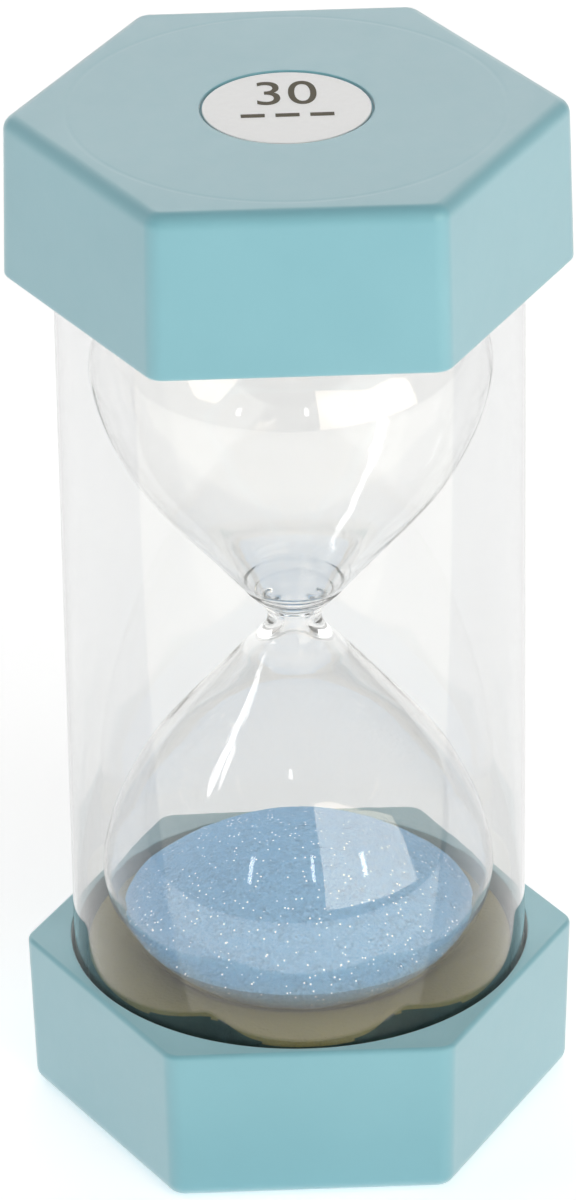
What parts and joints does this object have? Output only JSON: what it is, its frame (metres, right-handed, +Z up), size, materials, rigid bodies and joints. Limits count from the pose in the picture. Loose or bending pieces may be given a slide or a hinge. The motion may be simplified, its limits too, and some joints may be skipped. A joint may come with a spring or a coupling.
{
  "type": "hourglass",
  "caption": "Sand timer with moulded hexagonal caps on a clear tube, holding a waisted glass vial of blue sand on notched foam cushions; stands on either end.",
  "frame": {"origin": "centre of the underside, on the object's long axis", "axes": "+Z up along the long axis; two flats of each hexagonal cap face +Y and -Y, two corners lie on the X axis"},
  "size_m": [0.0814, 0.0712, 0.16],
  "materials": {
    "cap": "satin moulded plastic",
    "tube": "clear, polished",
    "vial": "clear blown glass",
    "stopper": "matte",
    "sand": "fine dyed grains with white glitter",
    "cushion": "matte foam",
    "label": "printed disc"
  },
  "bodies": {
    "root": {"bottom_cap": "cap", "top_cap": "cap", "clear_tube": "tube", "glass_bulb": "vial", "filler_stopper": "stopper", "sand": "sand", "bottom_cushion": "cushion", "top_cushion": "cushion", "bottom_label": "label", "top_label": "label"}
  },
  "joints": []
}
